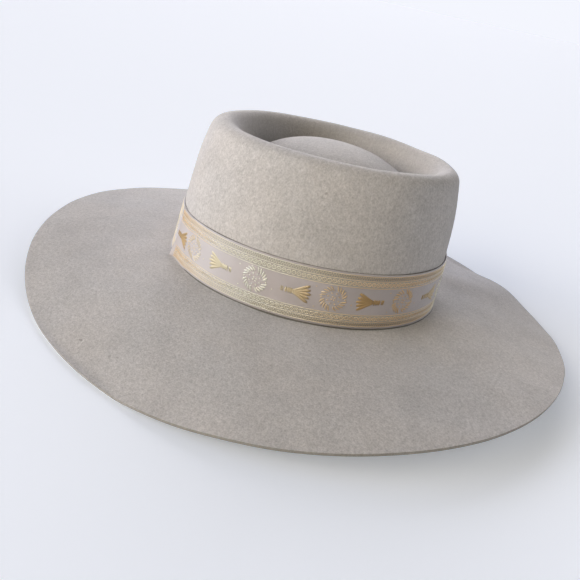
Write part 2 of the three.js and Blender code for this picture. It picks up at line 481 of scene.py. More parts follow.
class Nodes:
    """A node tree with short ways to add nodes and link them."""

    def __init__(self, tree: bpy.types.NodeTree) -> None:
        """Keeps the tree."""
        self.tree = tree

    def add(self, kind: str, **settings: object) -> bpy.types.Node:
        """Adds a node and sets its options.

        Args:
            kind: the node's type name.
            **settings: option names and values.

        Returns:
            The node.
        """
        node = self.tree.nodes.new(kind)
        for option, value in settings.items():
            setattr(node, option, value)
        return node

    def link(self, source: bpy.types.NodeSocket, target: bpy.types.NodeSocket) -> None:
        """Links two sockets."""
        self.tree.links.new(source, target)

    def feed(self, socket: bpy.types.NodeSocket, value: object) -> None:
        """Sets a socket to a plain value, or links a socket to it.

        Args:
            socket: the input.
            value: a number, a colour or an output socket.
        """
        if isinstance(value, bpy.types.NodeSocket):
            self.link(value, socket)
        else:
            socket.default_value = value

    def math(self, operation: str, first: object, second: object = 0.0) -> bpy.types.NodeSocket:
        """Adds a Math node.

        Args:
            operation: its operation.
            first: a number or a socket.
            second: a number or a socket.

        Returns:
            The result's socket.
        """
        node = self.add("ShaderNodeMath", operation=operation)
        self.feed(node.inputs[0], first)
        self.feed(node.inputs[1], second)
        return node.outputs[0]

    def noise(
        self, place: bpy.types.NodeSocket, size: float, detail: float
    ) -> bpy.types.NodeSocket:
        """Adds a noise texture.

        Args:
            place: the coordinates that it reads.
            size: how large its blots are, in metres.
            detail: how many finer layers it has.

        Returns:
            The noise's socket.
        """
        node = self.add("ShaderNodeTexNoise")
        self.link(place, node.inputs["Vector"])
        node.inputs["Scale"].default_value = 1.0 / size
        node.inputs["Detail"].default_value = detail
        return node.outputs["Fac"]

    def stretch(
        self, place: bpy.types.NodeSocket, scale: tuple[float, float, float]
    ) -> bpy.types.NodeSocket:
        """Adds a Mapping node that scales a place.

        Args:
            place: the coordinates.
            scale: a factor for each axis.

        Returns:
            The scaled coordinates' socket.
        """
        node = self.add("ShaderNodeMapping")
        self.link(place, node.inputs["Vector"])
        node.inputs["Scale"].default_value = scale
        return node.outputs["Vector"]

    def spread(
        self, value: bpy.types.NodeSocket, low: float, high: float, to_low: float, to_high: float
    ) -> bpy.types.NodeSocket:
        """Adds a Map Range node, held at its ends.

        Args:
            value: the value that it reads.
            low: the value that becomes to_low.
            high: the value that becomes to_high.
            to_low: the result at the low end.
            to_high: the result at the high end.

        Returns:
            The result's socket.
        """
        node = self.add("ShaderNodeMapRange")
        self.link(value, node.inputs["Value"])
        node.inputs["From Min"].default_value = low
        node.inputs["From Max"].default_value = high
        node.inputs["To Min"].default_value = to_low
        node.inputs["To Max"].default_value = to_high
        return node.outputs["Result"]

    def window(
        self,
        value: bpy.types.NodeSocket,
        rise: tuple[float, float],
        fall: tuple[float, float],
        share: float,
    ) -> bpy.types.NodeSocket:
        """Adds a mask that stands up between two ramps of a value.

        Args:
            value: the value that it reads.
            rise: the values between which it goes up from 0 to its share.
            fall: the values between which it goes down again.
            share: its greatest value.

        Returns:
            The mask's socket.
        """
        rising = self.spread(value, *rise, 0.0, share)
        falling = self.spread(value, *fall, share, 0.0)
        return self.math("MINIMUM", rising, falling)

    def one_axis(self, place: bpy.types.NodeSocket, axis: int) -> bpy.types.NodeSocket:
        """Adds a node that takes one axis out of a place.

        Args:
            place: the coordinates.
            axis: 0 for x, 1 for y or 2 for z.

        Returns:
            The axis's socket.
        """
        node = self.add("ShaderNodeSeparateXYZ")
        self.link(place, node.inputs[0])
        return node.outputs[axis]

    def mix(
        self, share: object, first: object, second: object, blend: str = "MIX"
    ) -> bpy.types.NodeSocket:
        """Adds a mix of two colours.

        Args:
            share: how much of the second, a number or a socket.
            first: a colour or a socket.
            second: a colour or a socket.
            blend: how they are blended.

        Returns:
            The mixed colour's socket.
        """
        node = self.add("ShaderNodeMix", data_type="RGBA", blend_type=blend)
        self.feed(node.inputs[0], share)
        self.feed(node.inputs[6], first)
        self.feed(node.inputs[7], second)
        return node.outputs[2]

    def bump(
        self,
        height: bpy.types.NodeSocket,
        depth: float,
        strength: float,
        under: bpy.types.NodeSocket | None = None,
    ) -> bpy.types.NodeSocket:
        """Adds a Bump node.

        Args:
            height: the relief, from 0 to 1.
            depth: how deep a relief of 1 is, in metres.
            strength: how strongly it acts.
            under: another relief's normal that it lies over.

        Returns:
            The normal's socket.
        """
        node = self.add("ShaderNodeBump")
        node.inputs["Strength"].default_value = strength
        node.inputs["Distance"].default_value = depth
        self.link(height, node.inputs["Height"])
        if under is not None:
            self.link(under, node.inputs["Normal"])
        return node.outputs["Normal"]


class SharedEffects:
    """Node groups that more than one material uses, each made once."""

    # Waves per metre of the painted sheen and painted reflection along the ribbon.
    sheen_waves_per_metre: float = 5.6
    fibre_detail: float = 2.0
    fibre_roughness: float = 0.6
    fibre_share: float = 0.65
    tuft_size: float = 2.2
    tuft_detail: float = 1.0
    tuft_share: float = 0.35
    fibre_range: tuple[float, float] = (0.32, 0.68)
    cloud_detail: float = 3.0
    cloud_range: tuple[float, float] = (0.35, 0.68)

    def __init__(self) -> None:
        """Makes the groups."""
        self.fibres = self.fibre_group()
        self.cloudy = self.cloudy_group()
        self.ribs = self.rib_group()
        self.sheen_wave = self.sheen_wave_group()

    @staticmethod
    def start(
        name: str, inputs: dict[str, float], outputs: tuple[str, ...]
    ) -> tuple[bpy.types.NodeTree, Nodes, bpy.types.Node, bpy.types.Node]:
        """Starts a group with a place input, number inputs and number outputs.

        Args:
            name: the group's name.
            inputs: the number inputs and their first values.
            outputs: the outputs' names.

        Returns:
            The group, its Nodes, its input node and its output node.
        """
        group = bpy.data.node_groups.new(name, "ShaderNodeTree")
        face = group.interface
        face.new_socket("Place", in_out="INPUT", socket_type="NodeSocketVector")
        for label, value in inputs.items():
            socket = face.new_socket(label, in_out="INPUT", socket_type="NodeSocketFloat")
            socket.default_value = value
        for label in outputs:
            face.new_socket(label, in_out="OUTPUT", socket_type="NodeSocketFloat")
        nodes = Nodes(group)
        return group, nodes, nodes.add("NodeGroupInput"), nodes.add("NodeGroupOutput")

    def fibre_group(self) -> bpy.types.NodeTree:
        """Matted fibres: fine noise laid over tufts of about twice its size.

        Returns:
            The group, with a Tone and a Height from 0 to 1.
        """
        group, nodes, given, made = self.start(
            "matted_fibres", {"Fineness": 1500.0}, ("Tone", "Height")
        )
        fine = nodes.add("ShaderNodeTexNoise")
        nodes.link(given.outputs["Place"], fine.inputs["Vector"])
        nodes.link(given.outputs["Fineness"], fine.inputs["Scale"])
        fine.inputs["Detail"].default_value = self.fibre_detail
        fine.inputs["Roughness"].default_value = self.fibre_roughness
        tufts = nodes.add("ShaderNodeTexNoise")
        nodes.link(given.outputs["Place"], tufts.inputs["Vector"])
        coarser = nodes.math("DIVIDE", given.outputs["Fineness"], self.tuft_size)
        nodes.link(coarser, tufts.inputs["Scale"])
        tufts.inputs["Detail"].default_value = self.tuft_detail
        strong = nodes.math("MULTIPLY", fine.outputs["Fac"], self.fibre_share)
        faint = nodes.math("MULTIPLY", tufts.outputs["Fac"], self.tuft_share)
        mean = nodes.math("ADD", strong, faint)
        nodes.link(nodes.spread(mean, *self.fibre_range, 0.0, 1.0), made.inputs["Tone"])
        nodes.link(mean, made.inputs["Height"])
        return group

    def cloudy_group(self) -> bpy.types.NodeTree:
        """Soft cloudy patches of noise, as handling and dust leave them.

        Returns:
            The group, with a Mask from 0 to 1.
        """
        group, nodes, given, made = self.start("cloudy_patches", {"Fineness": 25.0}, ("Mask",))
        patches = nodes.add("ShaderNodeTexNoise")
        nodes.link(given.outputs["Place"], patches.inputs["Vector"])
        nodes.link(given.outputs["Fineness"], patches.inputs["Scale"])
        patches.inputs["Detail"].default_value = self.cloud_detail
        mask = nodes.spread(patches.outputs["Fac"], *self.cloud_range, 0.0, 1.0)
        nodes.link(mask, made.inputs["Mask"])
        return group

    def rib_group(self) -> bpy.types.NodeTree:
        """Woven ribs across the cloth: a sine of the length along it.

        Returns:
            The group, with a Height from 0 to 1.
        """
        group, nodes, given, made = self.start(
            "woven_ribs", {"Ribs per metre": 1600.0}, ("Height",)
        )
        along = nodes.one_axis(given.outputs["Place"], 0)
        turns = nodes.math("MULTIPLY", along, given.outputs["Ribs per metre"])
        wave = nodes.math("SINE", nodes.math("MULTIPLY", turns, FULL_TURN))
        nodes.link(nodes.spread(wave, -1.0, 1.0, 0.0, 1.0), made.inputs["Height"])
        return group

    def sheen_wave_group(self) -> bpy.types.NodeTree:
        """Painted sheen along the cloth: a falling cosine of the length past its palest place,
        where the painted reflection is strongest.

        Returns:
            The group, whose Change is 0 at the palest place and 1 half a period away.
        """
        group, nodes, given, made = self.start(
            "painted_sheen_wave", {"Periods per metre": 5.0, "Palest at": 0.0}, ("Change",)
        )
        along = nodes.one_axis(given.outputs["Place"], 0)
        past = nodes.math("SUBTRACT", along, given.outputs["Palest at"])
        periods = nodes.math("MULTIPLY", past, given.outputs["Periods per metre"])
        wave = nodes.math("COSINE", nodes.math("MULTIPLY", periods, FULL_TURN))
        nodes.link(nodes.spread(wave, -1.0, 1.0, 1.0, 0.0), made.inputs["Change"])
        return group

    @staticmethod
    def use(
        nodes: Nodes, group: bpy.types.NodeTree, place: bpy.types.NodeSocket, fineness: float
    ) -> bpy.types.Node:
        """Puts a group into a material with its place and its one size.

        Args:
            nodes: the material's nodes.
            group: the group.
            place: the coordinates that it reads.
            fineness: its repeats per metre.

        Returns:
            The group's node.
        """
        node = nodes.add("ShaderNodeGroup", node_tree=group)
        nodes.link(place, node.inputs[0])
        node.inputs[1].default_value = fineness
        return node


def new_material(name: str) -> tuple[bpy.types.Material, Nodes, bpy.types.Node]:
    """Makes a material with one Principled shader.

    Args:
        name: the finish's name.

    Returns:
        The material, its Nodes and its shader.
    """
    material = bpy.data.materials.new(name)
    material.use_nodes = True
    nodes = Nodes(material.node_tree)
    return material, nodes, material.node_tree.nodes["Principled BSDF"]


@dataclass(frozen=True)
class Mark:
    """A small dark mark on the felt: turn in degrees, station, size in millimetres, strength."""

    turn: float
    station: float
    size: float
    strength: float

    def point(self, stand: Stand) -> tuple[float, ...]:
        """Where the mark's middle lies on the standing hat, in metres."""
        on_block = stand.block.surface(np.radians([self.turn]), np.array([self.station]))
        return tuple(float(value) * MM for value in stand.place(on_block)[0])


@dataclass(frozen=True)
class FeltFinish:
    """Pale wool felt: matt, softly mottled and a little soiled by handling, with painted shade in
    the crease, around the ribbon and along the cut edge, and one painted shadow under the ribbon's
    sprung end.
    """

    base: Tint = Tint(0.52, 0.50, 0.482)
    cool: Tint = Tint(0.49, 0.48, 0.472)
    # Soil for the marks, and painted shade for the crease and for one mark under the ribbon's
    # sprung end.
    soil_and_shade: Tint = Tint(0.30, 0.285, 0.27)
    roughness: float = 0.92
    specular: float = 0.2
    sheen: float = 0.25
    sheen_roughness: float = 0.5
    nap: tuple[float, float, float] = (1.0, 1.0, 0.8)
    fibre_fineness: float = 1150.0
    cloud_fineness: float = 22.0
    speckle_fineness: float = 420.0
    smudge_fineness: float = 58.0
    tone_range: tuple[float, float] = (0.77, 1.20)
    speckle_range: tuple[float, float] = (1.02, 0.975)
    smudge_from: float = 0.2
    smudge_range: tuple[float, float] = (1.03, 0.955)
    fibre_depth: float = 0.0006
    fibre_strength: float = 0.55
    speckle_depth: float = 0.0002
    speckle_strength: float = 0.3
    # Painted shade for the gaps between the ribbon and the felt: its colour, the heights it covers
    # and its share.
    shadow: Tint = Tint(0.10, 0.10, 0.085)
    covered_rise: tuple[float, float] = (0.22, 0.32)
    covered_fall: tuple[float, float] = (37.2, 37.4)
    covered_share: float = 0.8
    # Painted shade in the crease around the dome.
    crease_rise: tuple[float, float] = (3.5, 3.85)
    crease_fall: tuple[float, float] = (4.22, 4.55)
    crease_share: float = 0.48
    marks: tuple[Mark, ...] = (
        Mark(-15.0, 0.14, 1.1, 0.85),
        Mark(-7.5, 0.18, 0.9, 0.6),
        Mark(-6.0, 0.20, 0.8, 0.5),
        Mark(20.0, 0.21, 0.8, 0.5),
        Mark(43.0, 0.26, 0.8, 0.5),
        Mark(26.5, 2.88, 0.8, 0.7),
        Mark(-59.0, 0.19, 9.0, 0.16),
        # Painted shadow that the ribbon's sprung end casts on the brim.
        Mark(-41.0, 0.98, 2.4, 0.4),
        Mark(150.0, 0.35, 0.9, 0.5),
        Mark(205.0, 2.5, 0.8, 0.5),
        Mark(262.0, 0.4, 0.9, 0.6),
        Mark(23.0, 0.54, 1.0, 0.4),
        Mark(58.0, 0.42, 0.9, 0.4),
        Mark(126.0, 0.62, 0.9, 0.45),
        Mark(86.0, 0.67, 1.1, 0.4),
        Mark(82.0, 0.45, 1.0, 0.4),
        Mark(84.0, 0.06, 1.0, 0.4),
    )
    mark_reach: float = 2.3
    mark_blur: float = 0.5
    mark_ragging: float = 0.0015
    mark_detail: float = 2.0
    # Painted shade along the brim's cut edge.
    edge_shade: Tint = Tint(0.19, 0.175, 0.13)
    edge_rise: tuple[float, float] = (EDGE_STATION - 0.5, EDGE_STATION)
    edge_fall: tuple[float, float] = (EDGE_STATION + 0.4, 0.0)
    edge_share: float = 0.6
    edge_fade: tuple[float, float] = (-0.09, 0.03)

    def material(self, effects: SharedEffects, stand: Stand) -> bpy.types.Material:
        """Makes the felt material.

        Args:
            effects: the shared node groups.
            stand: how the hat stands, which places the marks.

        Returns:
            The material.
        """
        material, nodes, shader = new_material("pale_wool_felt")
        place = nodes.add("ShaderNodeTexCoord").outputs["Object"]
        drawn = nodes.stretch(place, self.nap)
        fibres = effects.use(nodes, effects.fibres, drawn, self.fibre_fineness)
        clouds = effects.use(nodes, effects.cloudy, place, self.cloud_fineness)
        speckle = effects.use(nodes, effects.cloudy, drawn, self.speckle_fineness)
        smudges = effects.use(nodes, effects.cloudy, place, self.smudge_fineness)
        cooled = nodes.mix(clouds.outputs["Mask"], self.base.rgba(), self.cool.rgba())
        tone = nodes.spread(fibres.outputs["Tone"], 0.0, 1.0, *self.tone_range)
        toned = nodes.mix(1.0, cooled, self.grey(nodes, tone), "MULTIPLY")
        speckled = nodes.spread(speckle.outputs["Mask"], 0.0, 1.0, *self.speckle_range)
        smudged = smudges.outputs["Mask"]
        handled = nodes.spread(smudged, self.smudge_from, 1.0, *self.smudge_range)
        worn = nodes.math("MULTIPLY", speckled, handled)
        colour = nodes.mix(1.0, toned, self.grey(nodes, worn), "MULTIPLY")
        # Dark marks of soil, and one painted shadow under the ribbon's sprung end.
        colour = nodes.mix(self.mark_mask(nodes, place, stand), colour, self.soil_and_shade.rgba())
        # Painted shade in the crease around the dome.
        colour = nodes.mix(self.painted_crease_shade_mask(nodes), colour, self.soil_and_shade.rgba())
        # Painted shade in the gaps along the ribbon's edges and under its lower edge.
        colour = nodes.mix(self.painted_gap_shade_mask(nodes), colour, self.shadow.rgba())
        # Painted shade along the cut edge at the left side and the back.
        colour = nodes.mix(self.painted_edge_shade_mask(nodes, place), colour, self.edge_shade.rgba())
        nodes.link(colour, shader.inputs["Base Color"])
        fine = nodes.bump(fibres.outputs["Height"], self.fibre_depth, self.fibre_strength)
        mottled = speckle.outputs["Mask"]
        relief = nodes.bump(mottled, self.speckle_depth, self.speckle_strength, fine)
        nodes.link(relief, shader.inputs["Normal"])
        shader.inputs["Roughness"].default_value = self.roughness
        shader.inputs["Specular IOR Level"].default_value = self.specular
        shader.inputs["Sheen Weight"].default_value = self.sheen
        shader.inputs["Sheen Roughness"].default_value = self.sheen_roughness
        return material

    @staticmethod
    def grey(nodes: Nodes, value: bpy.types.NodeSocket) -> bpy.types.NodeSocket:
        """Makes a grey colour of a value.

        Args:
            nodes: the material's nodes.
            value: the grey's lightness.

        Returns:
            The colour's socket.
        """
        node = nodes.add("ShaderNodeCombineColor")
        for channel in range(3):
            nodes.link(value, node.inputs[channel])
        return node.outputs[0]

    def painted_gap_shade_mask(self, nodes: Nodes) -> bpy.types.NodeSocket:
        """Painted shade on the felt behind the ribbon, which shows as a thin dark line in the gaps
        along its edges and under its lower edge.

        Args:
            nodes: the material's nodes.

        Returns:
            A mask from 0 to the covered share, between two heights up the wall.
        """
        climb = nodes.add("ShaderNodeAttribute", attribute_name="climb").outputs["Fac"]
        return nodes.window(climb, self.covered_rise, self.covered_fall, self.covered_share)

    def painted_crease_shade_mask(self, nodes: Nodes) -> bpy.types.NodeSocket:
        """Painted shade in the crease around the dome, by the station on the block.

        Args:
            nodes: the material's nodes.

        Returns:
            A mask from 0 to the crease's share.
        """
        station = nodes.add("ShaderNodeAttribute", attribute_name="station").outputs["Fac"]
        return nodes.window(station, self.crease_rise, self.crease_fall, self.crease_share)

    def painted_edge_shade_mask(self, nodes: Nodes, place: bpy.types.NodeSocket) -> bpy.types.NodeSocket:
        """Painted shade along the brim's cut edge, at the left side and the back.

        Args:
            nodes: the material's nodes.
            place: the felt's coordinates, in metres.

        Returns:
            A mask from 0 to the edge's share.
        """
        station = nodes.add("ShaderNodeAttribute", attribute_name="station").outputs["Fac"]
        edge = nodes.window(station, self.edge_rise, self.edge_fall, self.edge_share)
        behind = nodes.spread(nodes.one_axis(place, 1), *self.edge_fade, 0.0, 1.0)
        return nodes.math("MULTIPLY", edge, behind)

    def mark_mask(
        self, nodes: Nodes, place: bpy.types.NodeSocket, stand: Stand
    ) -> bpy.types.NodeSocket:
        """The strongest of the marks at each place, each fading out with distance; most are soil,
        and one is a painted shadow under the ribbon's sprung end.

        Args:
            nodes: the material's nodes.
            place: the felt's coordinates, in metres.
            stand: how the hat stands.

        Returns:
            A mask from 0 to 1.
        """
        ragged = nodes.noise(place, self.mark_ragging, self.mark_detail)
        mask: object = 0.0
        for mark in self.marks:
            away = nodes.add("ShaderNodeVectorMath", operation="DISTANCE")
            nodes.link(place, away.inputs[0])
            away.inputs[1].default_value = mark.point(stand)
            size = mark.size * MM
            reach = nodes.math("MULTIPLY", ragged, size * self.mark_reach)
            inside = nodes.math("SUBTRACT", reach, away.outputs["Value"])
            spot = nodes.spread(inside, 0.0, size * self.mark_blur, 0.0, mark.strength)
            mask = nodes.math("MAXIMUM", spot, mask)
        return mask


@dataclass(frozen=True)
class SatinFinish:
    """The ribbon's ground: pale mauve satin with fine ribs across it, and a painted cool sheen that
    comes and goes along it.
    """

    base: Tint = Tint(0.505, 0.465, 0.465)
    shade: Tint = Tint(0.44, 0.405, 0.40)
    # Painted cool sheen: a lighter, bluer tint laid where the sheen wave peaks.
    glow: Tint = Tint(0.555, 0.54, 0.56)
    painted_sheen_middle: float = 0.045
    straw: Tint = Tint(0.42, 0.40, 0.33)
    straw_from: float = 1.0
    straw_to: float = 9.0
    straw_share: float = 0.7
    straw_blur: float = 0.3
    painted_sheen_share: float = 0.75
    painted_sheen_end: float = 0.4
    roughness: float = 0.5
    sheen: float = 0.15
    cloud_fineness: float = 60.0
    ribs_per_metre: float = 1500.0
    rib_depth: float = 0.00012
    rib_strength: float = 0.6

    def material(
        self, effects: SharedEffects, width: float, hem: float
    ) -> bpy.types.Material:
        """Makes the satin material.

        Args:
            effects: the shared node groups.
            width: the ribbon's width, in millimetres.
            hem: how far from the ribbon's end its figures start, in millimetres.

        Returns:
            The material.
        """
        material, nodes, shader = new_material("mauve_satin")
        place = nodes.add("ShaderNodeUVMap", uv_map="cloth").outputs["UV"]
        ribs = effects.use(nodes, effects.ribs, place, self.ribs_per_metre)
        clouds = effects.use(nodes, effects.cloudy, place, self.cloud_fineness)
        ground = nodes.mix(clouds.outputs["Mask"], self.base.rgba(), self.shade.rgba())
        borders = self.border_mask(nodes, place, width, hem)
        strawed = nodes.mix(borders, ground, self.straw.rgba())
        sheen_wave = effects.use(nodes, effects.sheen_wave, place, effects.sheen_waves_per_metre)
        sheen_wave.inputs["Palest at"].default_value = self.painted_sheen_middle
        change = sheen_wave.outputs["Change"]
        # Painted sheen, strongest at the wave's palest place and gone by its end.
        painted_sheen_mask = nodes.spread(change, 0.0, self.painted_sheen_end, self.painted_sheen_share, 0.0)
        nodes.link(nodes.mix(painted_sheen_mask, strawed, self.glow.rgba()), shader.inputs["Base Color"])
        relief = nodes.bump(ribs.outputs["Height"], self.rib_depth, self.rib_strength)
        nodes.link(relief, shader.inputs["Normal"])
        shader.inputs["Roughness"].default_value = self.roughness
        shader.inputs["Sheen Weight"].default_value = self.sheen
        return material

    def border_mask(
        self, nodes: Nodes, place: bpy.types.NodeSocket, width: float, hem: float
    ) -> bpy.types.NodeSocket:
        """Where straw-coloured weft shows between the border threads, by the nearer edge.

        Args:
            nodes: the material's nodes.
            place: the place on the cloth, in metres.
            width: the ribbon's width, in millimetres.
            hem: how far from the ribbon's end the borders start, in millimetres.

        Returns:
            A mask from 0 to the straw's share.
        """
        along, across = nodes.one_axis(place, 0), nodes.one_axis(place, 1)
        nearer = nodes.math("MINIMUM", across, nodes.math("SUBTRACT", width * MM, across))
        soft = self.straw_blur * MM
        start, end = self.straw_from * MM, self.straw_to * MM
        rise, fall = (start - soft, start + soft), (end - soft, end + soft)
        straw = nodes.window(nearer, rise, fall, self.straw_share)
        past_hem = nodes.spread(along, hem * MM - soft, hem * MM + soft, 0.0, 1.0)
        return nodes.math("MULTIPLY", straw, past_hem)


@dataclass(frozen=True)
class ThreadFinish:
    """Metallic thread, paler where a painted reflection lies on it and more golden away from it,
    along the ribbon.
    """

    name: str
    # Pale tint: the thread under a painted reflection; gold tint: the thread away from it.
    pale: Tint = Tint(0.775, 0.815, 0.72)
    gold: Tint = Tint(0.77, 0.52, 0.27)
    palest: float = 0.085
    depth: float = 0.75
    metal: float = 0.6
    roughness: float = 0.36
    strands_per_metre: float = 1900.0
    strand_depth: float = 0.00015
    strand_strength: float = 0.7
    cloud_fineness: float = 14.0
    cloud_share: float = 0.25

    def material(self, effects: SharedEffects) -> bpy.types.Material:
        """Makes the thread material.

        Args:
            effects: the shared node groups.

        Returns:
            The material.
        """
        material, nodes, shader = new_material(self.name)
        place = nodes.add("ShaderNodeUVMap", uv_map="cloth").outputs["UV"]
        strands = effects.use(nodes, effects.ribs, place, self.strands_per_metre)
        golden = self.gold_share(nodes, effects, place)
        colour = nodes.mix(golden, self.pale.rgba(), self.gold.rgba())
        nodes.link(colour, shader.inputs["Base Color"])
        relief = nodes.bump(strands.outputs["Height"], self.strand_depth, self.strand_strength)
        nodes.link(relief, shader.inputs["Normal"])
        shader.inputs["Roughness"].default_value = self.roughness
        shader.inputs["Metallic"].default_value = self.metal
        return material

    def gold_share(
        self, nodes: Nodes, effects: SharedEffects, place: bpy.types.NodeSocket
    ) -> bpy.types.NodeSocket:
        """How golden the thread is: the painted reflection's wave, paler at its peak, with cloudy
        patches over it.

        Args:
            nodes: the material's nodes.
            effects: the shared node groups.
            place: the place on the cloth, in metres.

        Returns:
            A share from 0 to 1.
        """
        sheen_wave = effects.use(nodes, effects.sheen_wave, place, effects.sheen_waves_per_metre)
        sheen_wave.inputs["Palest at"].default_value = self.palest
        clouds = effects.use(nodes, effects.cloudy, place, self.cloud_fineness)
        patches = nodes.math("MULTIPLY", clouds.outputs["Mask"], self.cloud_share)
        change = nodes.math("MULTIPLY", sheen_wave.outputs["Change"], self.depth)
        return nodes.math("ADD", change, patches)


@dataclass
class FeltHood:
    """Crown and brim, one hood of felt with an outer face, an inner face and a raw cut edge."""

    block: HatBlock
    stand: Stand
    turns: int = 320
    brim_rows: int = 44
    fillet_rows: int = 8
    wall_rows: int = 24
    roll_rows: int = 20
    groove_rows: int = 30
    dome_rows: int = 14
    groove_share: float = 0.32
    dome_end: float = 0.97
    edge_rows: int = 9
    edge_bulge: float = 0.35
    edge_squareness: float = 0.35
    unevenness: float = 0.22
    wave_count: int = 14
    wave_lengths: tuple[float, float] = (28.0, 85.0)
    seed: int = 7

    def stations(self) -> np.ndarray:
        """Stations of the rows, closest in the groove and at the break.

        Returns:
            Stations from the brim's edge to near the dome's middle.
        """
        counts = (self.brim_rows, self.fillet_rows, self.wall_rows, self.roll_rows)
        zones = [
            np.linspace(zone, zone + 1.0, rows, endpoint=False)
            for zone, rows in enumerate(counts)
        ]
        groove = np.linspace(0.0, self.groove_share, self.groove_rows, endpoint=False)
        dome = np.linspace(self.groove_share, self.dome_end, self.dome_rows)
        return np.concatenate([*zones, len(counts) + groove, len(counts) + dome])

    def waviness(self, points: np.ndarray) -> np.ndarray:
        """Slight unevenness of hand-blocked felt: a sum of sines in seeded directions.

        Args:
            points: points of the worn hat.

        Returns:
            Heights along the felt's normal, in millimetres.
        """
        rng = np.random.default_rng(self.seed)
        lengths = rng.uniform(*self.wave_lengths, self.wave_count)
        ways = rng.normal(size=(self.wave_count, 3))
        ways = ways / np.linalg.norm(ways, axis=1, keepdims=True)
        phases = rng.uniform(0.0, FULL_TURN, self.wave_count)
        waves = np.sin(points @ (ways / lengths[:, None] * FULL_TURN).T + phases)
        return waves.sum(axis=-1) * self.unevenness / np.sqrt(self.wave_count / 2)

    def rows_around(self) -> tuple[np.ndarray, np.ndarray]:
        """Station and turn of every point of a face; each row starts at the front.

        Returns:
            The stations and the turns, one row for each station.
        """
        turn = -np.pi / 2 + np.arange(self.turns) * FULL_TURN / self.turns
        return tuple(np.meshgrid(self.stations(), turn, indexing="ij"))

    def faces_of_felt(self) -> tuple[np.ndarray, np.ndarray]:
        """Points of the outer and the inner face, a felt's thickness apart along the normal.

        Returns:
            Two grids of points of the worn hat, rows from the brim's edge to the dome.
        """
        station, turn = self.rows_around()
        outer = self.block.surface(turn, station)
        normal = self.block.normal(turn, station)
        outer = outer + normal * self.waviness(outer)[..., None]
        return outer, outer - normal * self.block.felt

    def measures(self, hidden_rows: int) -> tuple[np.ndarray, np.ndarray]:
        """Station and climb of every point, for the material.

        The climb is the height above the break on the crown, and the distance out from it, as
        a negative number, on the brim. Both are in millimetres. Points of the inner face have a
        value that no mask reads, and those of the cut edge have a station of their own.

        Args:
            hidden_rows: how many rows of points come before the outer face.

        Returns:
            The stations and the climbs, with the two poles at the end.
        """
        station, turn = self.rows_around()
        height = self.block.surface(turn, station)[..., 2]
        brim = -self.block.brim_width.at(turn) * (1.0 - station)
        climb = np.where(station < 1.0, brim, height)
        hidden = np.full(hidden_rows * self.turns, UNSEEN)
        edged = hidden.copy()
        edged[-self.edge_rows * self.turns :] = EDGE_STATION
        stations = np.concatenate([edged, station.ravel(), [UNSEEN, LAST_STATION]])
        return stations, np.concatenate([hidden, climb.ravel(), [UNSEEN, climb.max()]])

    def cut_edge(self, outer: np.ndarray, inner: np.ndarray) -> np.ndarray:
        """Raw edge between the two faces: half a superellipse that bulges outwards a little.

        Args:
            outer: the outer face's edge.
            inner: the inner face's edge.

        Returns:
            Rows of points from the inner face to the outer face.
        """
        angle = np.linspace(-np.pi / 2, np.pi / 2, self.edge_rows + 2)[1:-1]
        up = np.sign(np.sin(angle)) * np.abs(np.sin(angle)) ** self.edge_squareness
        out = np.abs(np.cos(angle)) ** self.edge_squareness * self.edge_bulge
        middle, half = (outer + inner) / 2, (outer - inner) / 2
        along = np.roll(middle, -1, axis=0) - np.roll(middle, 1, axis=0)
        away = np.cross(along, half)
        away = away / np.linalg.norm(away, axis=-1, keepdims=True)
        return middle + half * up[:, None, None] + away * out[:, None, None]

    def build(self) -> bpy.types.Object:
        """Builds the felt as one closed mesh: inner face, cut edge and outer face in turn.

        Returns:
            The felt piece.
        """
        outer, inner = self.faces_of_felt()
        edge = self.cut_edge(outer[0], inner[0])
        felt = self.block.felt
        rows = [
            self.stand.rest(inner[::-1], 0.0),
            self.stand.rest(edge, np.linspace(0.0, felt, self.edge_rows)[:, None]),
            self.stand.rest(outer, felt),
        ]
        grid = np.concatenate(rows)
        top = self.block.surface(np.zeros(1), np.full(1, LAST_STATION))
        top = top + UP * self.waviness(top)[..., None]
        poles = self.stand.place(np.concatenate([top - UP * felt, top]))
        station, climb = self.measures(len(inner) + self.edge_rows)
        points = np.concatenate([grid.reshape(-1, 3), poles])
        count, columns = grid.shape[:2]
        quads = MeshMaker.grid_faces(count, columns, closed=True)
        first = np.arange(columns)
        ahead = (first + 1) % columns
        last_row = (count - 1) * columns
        inner_pole = np.full(columns, count * columns)
        fans = np.concatenate(
            [
                np.stack([ahead, first, inner_pole], axis=-1),
                np.stack([last_row + first, last_row + ahead, inner_pole + 1], axis=-1),
            ]
        )
        return MeshMaker.build(
            "felt_hat",
            points,
            quads.tolist() + fans.tolist(),
            measures={"station": station, "climb": climb},
        )


